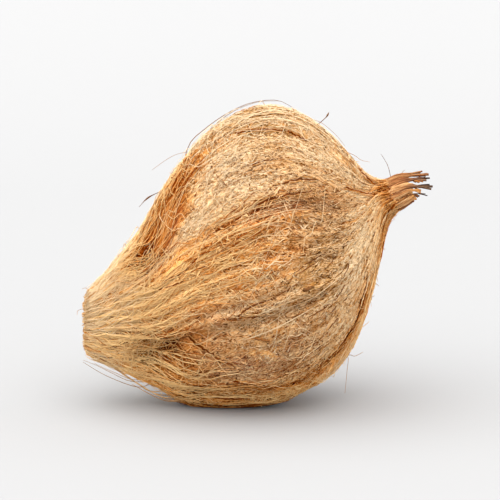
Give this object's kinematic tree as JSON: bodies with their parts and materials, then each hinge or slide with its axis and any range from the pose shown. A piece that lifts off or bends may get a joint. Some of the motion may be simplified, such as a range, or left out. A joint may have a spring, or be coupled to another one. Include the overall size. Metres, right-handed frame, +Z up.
{
  "type": "semi-husked coconut",
  "caption": "Round nut in a fibrous coir husk, lying on its side, with a sawn-off fibre tuft at one end and a frayed wisp of woody strips at the other.",
  "frame": {"origin": "on the surface the nut rests on, under the middle of the part", "axes": "+X from the sawn tuft towards the frayed tip, +Z up"},
  "size_m": [0.1484, 0.1155, 0.1308],
  "materials": {
    "coir_husk": "dry, matte, long coarse fibres, pale straw to orange-brown with dark rust gaps"
  },
  "bodies": {
    "root": {"coconut": "coir_husk"}
  },
  "joints": []
}
